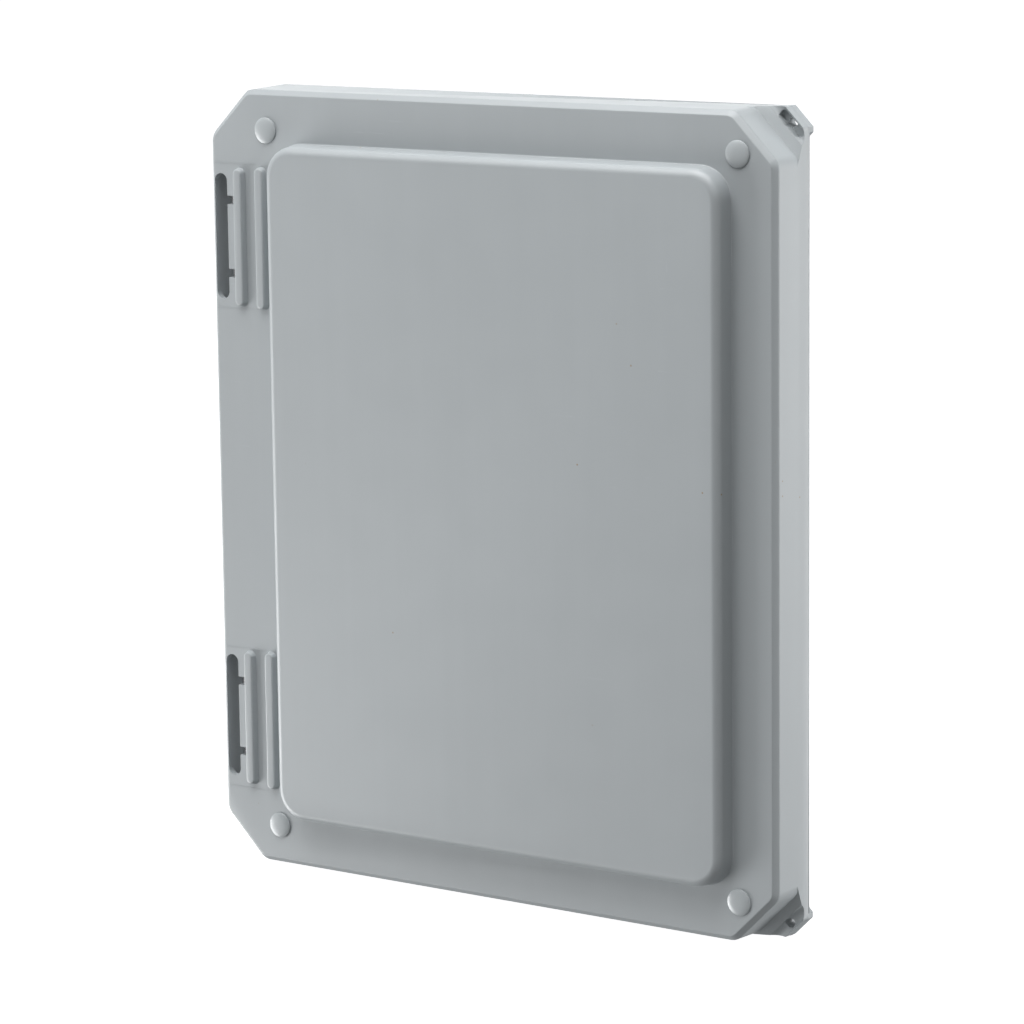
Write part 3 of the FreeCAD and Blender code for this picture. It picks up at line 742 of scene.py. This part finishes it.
@dataclass
class MountingPlate:
    """The steel subpanel with its screws, washers and inserts, and its earth terminal.

    Args:
        edge: rounding of the plate's edges.
        front: depth of the plate's face.
        back: depth of its rear face.
        middle_x: middle of the box.
        reach: fixing screws' distances from the middle, across and up.
        earth: place of the earth terminal, as (x, z).
        screw: each of the four fixing screws.
        earth_screw: the earth terminal's screw.
        washer: inner radius, outer radius and thickness.
        insert: inner radius, outer radius and length.
        nut: inner radius, outer radius and thickness.
    """

    edge: float = 0.25 * MM
    front: float = 14.0 * MM
    back: float = 15.5 * MM
    middle_x: float = 6.4 * MM
    reach: Pair = (100.0 * MM, 126.0 * MM)
    earth: Pair = (66.4 * MM, -132.0 * MM)
    screw: PanScrew = PanScrew(4.0 * MM, 2.2 * MM, 1.95 * MM, 5.8 * MM)
    earth_screw: PanScrew = PanScrew(4.0 * MM, 2.2 * MM, 1.95 * MM, 5.0 * MM)
    washer: Triple = (2.1 * MM, 4.6 * MM, 0.8 * MM)
    insert: Triple = (2.08 * MM, 2.9 * MM, 4.2 * MM)
    nut: Triple = (2.08 * MM, 3.8 * MM, 2.4 * MM)

    def plate(self, wardrobe: Wardrobe) -> None:
        """The plate itself."""
        plate = merged_copy("subpanel", "subpanel_plate", 30.0)
        soft_edges(plate, self.edge, 40.0)
        wardrobe.dress(plate, Finish.PLATE)
        fit(plate, "back_box", ["subpanel"])

    def washer_skin(self) -> Skin:
        """A flat washer about the Z axis."""
        inner, outer, thick = self.washer
        return turned_ring(ring_profile(inner, outer, 0.0, thick, 0.12 * MM), 64)

    def mount(self, wardrobe: Wardrobe, spots: list[Pair],
              made: dict[str, tuple[Skin, float, Finish, str]]) -> None:
        """Puts fastenings on the plate.

        Args:
            wardrobe: the finishes.
            spots: (x, z) of each copy.
            made: for each piece its skin, the depth of the skin's origin, its finish and its CAD node.
        """
        for name, (skin, depth, finish, node) in made.items():
            piece = mesh_piece(name, joined([skin.placed((x, at(depth), z), Axis.OUT) for x, z in spots]))
            wardrobe.dress(piece, finish)
            fit(piece, "back_box", [node])

    def fixings(self, wardrobe: Wardrobe) -> None:
        """Screws, washers and inserts, four of each."""
        bore, around, length = self.insert
        insert = turned_ring(ring_profile(bore, around, 0.0, length, 0.15 * MM), 144, 24, 0.16 * MM)
        head_seat = self.front - self.washer[2]
        spots = corner_spots(self.middle_x + self.reach[0], self.middle_x - self.reach[0], self.reach[1])
        self.mount(wardrobe, spots, {
            "plate_screws": (self.screw.skin(), head_seat, Finish.STEEL, "subpanel_screws"),
            "plate_washers": (self.washer_skin(), self.front, Finish.STEEL, "subpanel_washers"),
            "plate_inserts": (insert, self.back + length, Finish.BRASS, "subpanel_inserts")})

    def earth_terminal(self, wardrobe: Wardrobe) -> None:
        """Green screw, washer and nut."""
        bore, around, height = self.nut
        nut = turned_ring(ring_profile(bore, around, 0.0, height, 0.2 * MM), 180, 30, 0.2 * MM)
        head_seat = self.front - self.washer[2]
        self.mount(wardrobe, [self.earth], {
            "earth_screw": (self.earth_screw.skin(), head_seat, Finish.GREEN, "bonding_screw"),
            "earth_washer": (self.washer_skin(), self.front, Finish.STEEL, "bonding_washer"),
            "earth_nut": (nut, self.back + height, Finish.BRASS, "bonding_nut")})

    def build(self, wardrobe: Wardrobe) -> None:
        """Makes the plate and all that holds it."""
        self.plate(wardrobe)
        self.fixings(wardrobe)
        self.earth_terminal(wardrobe)


@dataclass
class CoverFixings:
    """Captive cover screws under domed caps, with their keeper rings and threaded inserts.

    Args:
        across: x of the left and of the right screws.
        height: z of the upper screws.
        cap_r: radius of a cap.
        cap_rim: height of its cylindrical rim.
        cap_rise: height of its middle over the flange.
        plug: inner radius, outer radius and length of the cap's plug.
        screw: each captive screw.
        seat: depth of the screw heads' seats.
        insert: inner radius, outer radius and length.
        insert_end: depth of the inserts' far ends.
        keeper: inner radius, outer radius and thickness.
        keeper_end: depth of the rings' rear faces.
    """

    across: Pair = (-109.2 * MM, 122.0 * MM)
    height: float = 148.3 * MM
    cap_r: float = 5.4 * MM
    cap_rim: float = 0.45 * MM
    cap_rise: float = 1.35 * MM
    plug: Triple = (3.28 * MM, 4.28 * MM, 2.4 * MM)
    screw: PanScrew = PanScrew(3.6 * MM, 2.2 * MM, 1.95 * MM, 7.3 * MM)
    seat: float = 5.9 * MM
    insert: Triple = (2.08 * MM, 2.9 * MM, 6.0 * MM)
    insert_end: float = 19.8 * MM
    keeper: Triple = (2.7 * MM, 4.8 * MM, 0.6 * MM)
    keeper_end: float = 3.6 * MM

    def cap_skin(self) -> Skin:
        """A cap about the Z axis: hollow plug, short rim and dome.

        The dome's height over its rim is (rise - rim) * (1 - (r / R)^2.6)^0.72, which is steeper at
        the rim than a ball.
        """
        inner, outer, deep = self.plug
        under = softened([(TINY, -0.1 * MM), (inner, -0.1 * MM), (inner, -deep), (outer, -deep),
                          (outer, 0.0), (self.cap_r, 0.0), (self.cap_r, self.cap_rim)], 0.1 * MM, 4, False)
        share = np.sin(np.linspace(math.pi / 2.0, 0.0, 26)[1:])
        dome_r = np.maximum(self.cap_r * share, TINY)
        dome_z = self.cap_rim + (self.cap_rise - self.cap_rim) * (1.0 - share ** 2.6) ** 0.72
        outline = np.concatenate([under, np.stack([dome_r, dome_z], -1)])
        m = 72
        return turned(np.repeat(outline[:, :1], m, 1), np.repeat(outline[:, 1:], m, 1))

    def build(self, wardrobe: Wardrobe) -> None:
        """Makes caps, screws, rings and inserts."""
        left, right = self.across
        spots = corner_spots(right, left, self.height)
        screw = self.screw.skin()
        cap = self.cap_skin()
        for corner, (x, z) in zip(("top_left", "top_right", "bottom_left", "bottom_right"), spots):
            piece = mesh_piece("domed_cap_" + corner, cap.placed((x, at(0.0), z), Axis.OUT), 50.0)
            wardrobe.dress(piece, Finish.CAP)
            fit(piece, "cap_" + corner, ["screw_cap_" + corner])
            piece = mesh_piece("captive_screw_" + corner, screw.placed((x, at(self.seat), z), Axis.OUT))
            wardrobe.dress(piece, Finish.STEEL)
            fit(piece, "screw_" + corner, ["cover_screw_" + corner])
        bore, around, length = self.insert
        insert = turned_ring(ring_profile(bore, around, 0.0, length, 0.15 * MM), 144, 24, 0.16 * MM)
        piece = mesh_piece("post_inserts", joined([insert.placed((x, at(self.insert_end), z), Axis.OUT)
                                                   for x, z in spots]))
        wardrobe.dress(piece, Finish.BRASS)
        fit(piece, "back_box", ["cover_screw_inserts"])
        inner, outer, thick = self.keeper
        ring = turned_ring(ring_profile(inner, outer, 0.0, thick, 0.1 * MM), 64)
        piece = mesh_piece("keeper_rings", joined([ring.placed((x, at(self.keeper_end), z), Axis.OUT)
                                                   for x, z in spots]))
        wardrobe.dress(piece, Finish.NYLON)
        fit(piece, "cover", ["screw_keeper_rings"])


@dataclass
class Hinge:
    """The two hinge pins and their spring clips.

    Args:
        x: the pins' x.
        depth: the pins' depth.
        station: height of a station's middle.
        reach: half length of the run between the outer eyes' ends.
        pin_r: pin radius.
        head: head radius and height.
        tail: length below the lower eye.
        groove: groove's radius, and its start and end above the pin's lower end.
    """

    x: float = -133.2 * MM
    depth: float = 8.0 * MM
    station: float = 103.0 * MM
    reach: float = 36.0 * MM
    pin_r: float = 1.5 * MM
    head: Pair = (2.4 * MM, 1.0 * MM)
    tail: float = 2.0 * MM
    groove: Triple = (1.1 * MM, 1.2 * MM, 2.0 * MM)

    def pin_skin(self) -> Skin:
        """A pin about the Z axis, its middle at the station's middle."""
        low, high = -self.reach - self.tail, self.reach
        head_r, head_h = self.head
        groove_r, start, end = self.groove
        return spun([(TINY, low), (self.pin_r, low), (self.pin_r, low + start), (groove_r, low + start),
                     (groove_r, low + end), (self.pin_r, low + end), (self.pin_r, high), (head_r, high),
                     (head_r, high + head_h), (TINY, high + head_h)], 0.3 * MM)

    def build(self, wardrobe: Wardrobe) -> None:
        """Makes pins and clips."""
        for where, height in (("upper", self.station), ("lower", -self.station)):
            spot = (self.x, at(self.depth), height)
            piece = mesh_piece("pin_" + where, self.pin_skin().placed(spot, Axis.UP))
            wardrobe.dress(piece, Finish.STEEL)
            fit(piece, "back_box", ["hinge_pin_" + where])
        clips = merged_copy("hinge_pin_clips", "pin_clips", 30.0)
        soft_edges(clips, 0.08 * MM, 40.0)
        wardrobe.dress(clips, Finish.SPRING)
        fit(clips, "back_box", ["hinge_pin_clips"])


@dataclass
class Seal:
    """Foam strip between the cover and the box's rim, led inside the four screws.

    Args:
        left: x of the strip's left run.
        right: x of its right run.
        top: z of its upper run.
        cuts: legs of its left and right corners.
        half: half its width.
        depths: its front and rear faces.
        bend: how far each corner's bend reaches.
    """

    left: float = -118.6 * MM
    right: float = 134.15 * MM
    top: float = 159.9 * MM
    cuts: Pair = (33.73 * MM, 36.48 * MM)
    half: float = 1.5 * MM
    depths: Pair = (3.0 * MM, 5.0 * MM)
    bend: float = 5.0 * MM

    def build(self, wardrobe: Wardrobe) -> None:
        """Makes the strip."""
        cut_l, cut_r = self.cuts
        upper = [(self.right, self.top - cut_r), (self.right - cut_r, self.top),
                 (self.left + cut_l, self.top), (self.left, self.top - cut_l)]
        path = softened(upper + [(x, -z) for x, z in reversed(upper)], self.bend, 9, True)
        front, rear = self.depths
        section = softened([(-self.half, at(front)), (self.half, at(front)), (self.half, at(rear)),
                            (-self.half, at(rear))], 0.35 * MM, 5, True)
        piece = mesh_piece("foam_seal", strip_along(path, section))
        wardrobe.dress(piece, Finish.SEAL)
        fit(piece, "cover", ["gasket"])


# ------------------------------------------------------------------ stage
def bearing(azimuth: float, elevation: float) -> Vector:
    """Unit vector towards a bearing: degrees round from the cover's front, and above the horizon."""
    a, e = math.radians(azimuth), math.radians(elevation)
    return Vector((math.sin(a) * math.cos(e), -math.cos(a) * math.cos(e), math.sin(e)))


@dataclass
class SoftBox:
    """A square studio light.

    Args:
        name: the light's name.
        azimuth: degrees round from the cover's front, positive to its right.
        elevation: degrees above the horizon.
        distance: metres from the object.
        size: metres along each side.
        power: watts.
    """

    name: str
    azimuth: float
    elevation: float
    distance: float
    size: float
    power: float

    def build(self, aim: Vector) -> None:
        """Hangs the light, facing the aim point."""
        away = bearing(self.azimuth, self.elevation)
        light = bpy.data.lights.new(self.name, "AREA")
        light.shape = "SQUARE"
        light.size = self.size
        light.energy = self.power
        lamp = bpy.data.objects.new(self.name, light)
        lamp.location = aim + away * self.distance
        lamp.rotation_euler = away.to_track_quat("Z", "Y").to_euler()
        bpy.context.scene.collection.objects.link(lamp)


@dataclass
class Studio:
    """Pale floor, soft lights and the camera.

    Args:
        azimuth: the camera's bearing from the cover's front, in degrees, positive to the right.
        elevation: degrees above the horizon.
        roll: the camera's lean in degrees, positive anticlockwise as it looks.
        distance: metres from the aim point.
        lens: focal length in millimetres on a 36 mm sensor.
        aim: the point in the middle of the view.
        ambient: strength of the surrounding light: level, and what straight above has more.
        floor_half: half the floor's width, in metres.
        floor_gap: how far the floor lies under the object.
        lights: the studio lights.
    """

    azimuth: float = 35.30
    elevation: float = 10.01
    roll: float = -0.68
    distance: float = 1.7076
    lens: float = 148.36
    aim: Triple = (0.01384, -0.0264, -0.0012)
    ambient: Pair = (0.286, 0.02)
    floor_half: float = 14.0
    floor_gap: float = 0.5 * MM
    lights: tuple[SoftBox, ...] = (
        SoftBox("top_light", 0.0, 82.0, 2.2, 2.0, 59.0),
        SoftBox("front_top_light", -30.0, 50.0, 2.4, 1.4, 20.0),
        SoftBox("rear_right_light", 122.0, 0.0, 3.6, 1.8, 94.0),
        SoftBox("low_left_light", -72.0, -24.0, 3.4, 2.0, 112.0),
        SoftBox("back_left_light", -145.0, 14.0, 2.4, 1.4, 7.0))

    def camera(self) -> None:
        """Sets up the view."""
        away = bearing(self.azimuth, self.elevation)
        data = bpy.data.cameras.new("camera")
        data.lens = self.lens
        data.sensor_width = 36.0
        data.clip_end = 60.0
        camera = bpy.data.objects.new("camera", data)
        camera.location = Vector(self.aim) + away * self.distance
        camera.rotation_euler = away.to_track_quat("Z", "Y").to_euler()
        camera.rotation_euler.rotate_axis("Z", math.radians(self.roll))
        bpy.context.scene.collection.objects.link(camera)
        bpy.context.scene.camera = camera

    def floor(self) -> None:
        """A wide pale floor just under the object."""
        half = self.floor_half
        corners = np.array([[-half, -half], [half, -half], [half, half], [-half, half]])
        points = np.concatenate([corners, np.full((4, 1), CAD_BOX[0][2] - self.floor_gap)], 1)
        mesh = bpy.data.meshes.new("floor")
        mesh.from_pydata(points.tolist(), [], [(0, 1, 2, 3)])
        floor = bpy.data.objects.new("floor", mesh)
        bpy.context.scene.collection.objects.link(floor)
        g = Graph("pale_floor")
        cloud = g.noise((1.2, 1.2, 1.2), 2.0)
        g.colour(g.blend(cloud, (0.27, 0.27, 0.27, 1.0), (0.30, 0.30, 0.30, 1.0)))
        g.steady(Roughness=0.9, Emission_Strength=0.95)
        g.shader.inputs["Emission Color"].default_value = (1.0, 1.0, 1.0, 1.0)
        mesh.materials.append(g.material)
        floor.visible_diffuse = False
        floor.visible_shadow = False
        floor.visible_glossy = False

    def surroundings(self) -> None:
        """Even surrounding light that grows towards straight above."""
        world = bpy.data.worlds.new("studio")
        bpy.context.scene.world = world
        world.use_nodes = True
        tree = world.node_tree
        level, above = self.ambient
        place = tree.nodes.new("ShaderNodeTexCoord")
        split = tree.nodes.new("ShaderNodeSeparateXYZ")
        ramp = tree.nodes.new("ShaderNodeMapRange")
        settings = {"From Min": 0.0, "From Max": 1.0, "To Min": level, "To Max": level + above}
        for name, value in settings.items():
            ramp.inputs[name].default_value = value
        tree.links.new(place.outputs["Generated"], split.inputs["Vector"])
        tree.links.new(split.outputs["Z"], ramp.inputs["Value"])
        back = tree.nodes["Background"]
        back.inputs["Color"].default_value = (0.985, 0.995, 1.0, 1.0)
        tree.links.new(ramp.outputs["Result"], back.inputs["Strength"])

    def build(self) -> None:
        """Sets the whole stage."""
        bpy.context.scene.view_settings.view_transform = "Standard"
        for light in self.lights:
            light.build(Vector(self.aim))
        self.surroundings()
        self.floor()
        self.camera()


def main() -> None:
    """Builds every sub-assembly in order and sets the stage."""
    logging.basicConfig(level=logging.INFO, format="%(name)s %(message)s")
    wardrobe = Wardrobe()
    for assembly in (Shells(), CoverFixings(), MountingPlate(), Hinge(), Seal()):
        assembly.build(wardrobe)
    Studio().build()


if __name__ == "__main__":
    main()
